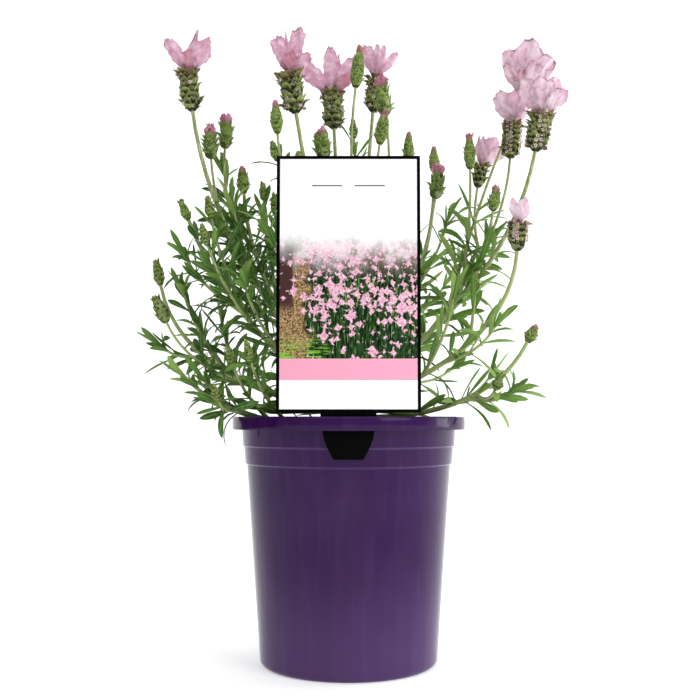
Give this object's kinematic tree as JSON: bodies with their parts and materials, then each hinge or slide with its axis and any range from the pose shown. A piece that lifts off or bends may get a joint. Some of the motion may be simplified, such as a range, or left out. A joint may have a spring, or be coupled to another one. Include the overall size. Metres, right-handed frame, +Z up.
{
  "type": "potted lavender",
  "caption": "Flowering lavender in a round plastic nursery pot: woody base, leafy branches, petal-topped flower spikes, buds, potting mix, and an upright card label locked through the rim.",
  "frame": {"origin": "centre of the pot's flat underside", "axes": "+Z up the pot's axis and the plant, -Y towards the label's printed face, +X to the right as the label is read"},
  "size_m": [0.3033, 0.2106, 0.4683],
  "materials": {
    "pot": "satin-gloss moulded purple polypropylene",
    "potting_mix": "damp bark and peat crumb",
    "label": "white plastic card, colour print on the front, black border, neck and foot",
    "bark": "rough grey-brown bark",
    "foliage": "matte, finely downy grey-green leaf and stem",
    "calyx": "matte downy green bracts with brown-purple tips",
    "petals": "thin, soft, slightly translucent pale pink"
  },
  "bodies": {
    "root": {"pot": "pot", "potting_mix": "potting_mix", "plant_label": "label", "woody_base": "bark", "branch_left_tall": "foliage", "branch_left_back": "foliage", "branch_left_low": "foliage", "branch_left_front": "foliage", "branch_left_rim": "foliage", "branch_centre_left": "foliage", "branch_centre": "foliage", "branch_centre_right": "foliage", "branch_right_back": "foliage", "branch_right_tall": "foliage", "branch_right_mid": "foliage", "branch_right_rim": "foliage", "branch_back_left": "foliage", "branch_back_right": "foliage", "branch_front": "foliage", "flower_spike_01": "calyx", "flower_petals_01": "petals", "flower_spike_02": "calyx", "flower_petals_02": "petals", "flower_spike_03": "calyx", "flower_petals_03": "petals", "flower_spike_04": "calyx", "flower_petals_04": "petals", "flower_spike_05": "calyx", "flower_petals_05": "petals", "flower_spike_06": "calyx", "flower_petals_06": "petals", "flower_spike_07": "calyx", "flower_petals_07": "petals", "flower_spike_08": "calyx", "flower_petals_08": "petals", "flower_spike_09": "calyx", "flower_petals_09": "petals", "flower_spike_10": "calyx", "flower_petals_10": "petals", "flower_spike_11": "calyx", "flower_petals_11": "petals", "half_open_01": "calyx", "half_open_02": "calyx", "half_open_03": "calyx", "half_open_04": "calyx", "half_open_05": "calyx", "bud_01": "calyx", "bud_02": "calyx", "bud_03": "calyx", "bud_04": "calyx", "bud_05": "calyx", "bud_06": "calyx", "bud_07": "calyx", "bud_08": "calyx", "bud_09": "calyx", "bud_10": "calyx", "bud_11": "calyx"}
  },
  "joints": []
}
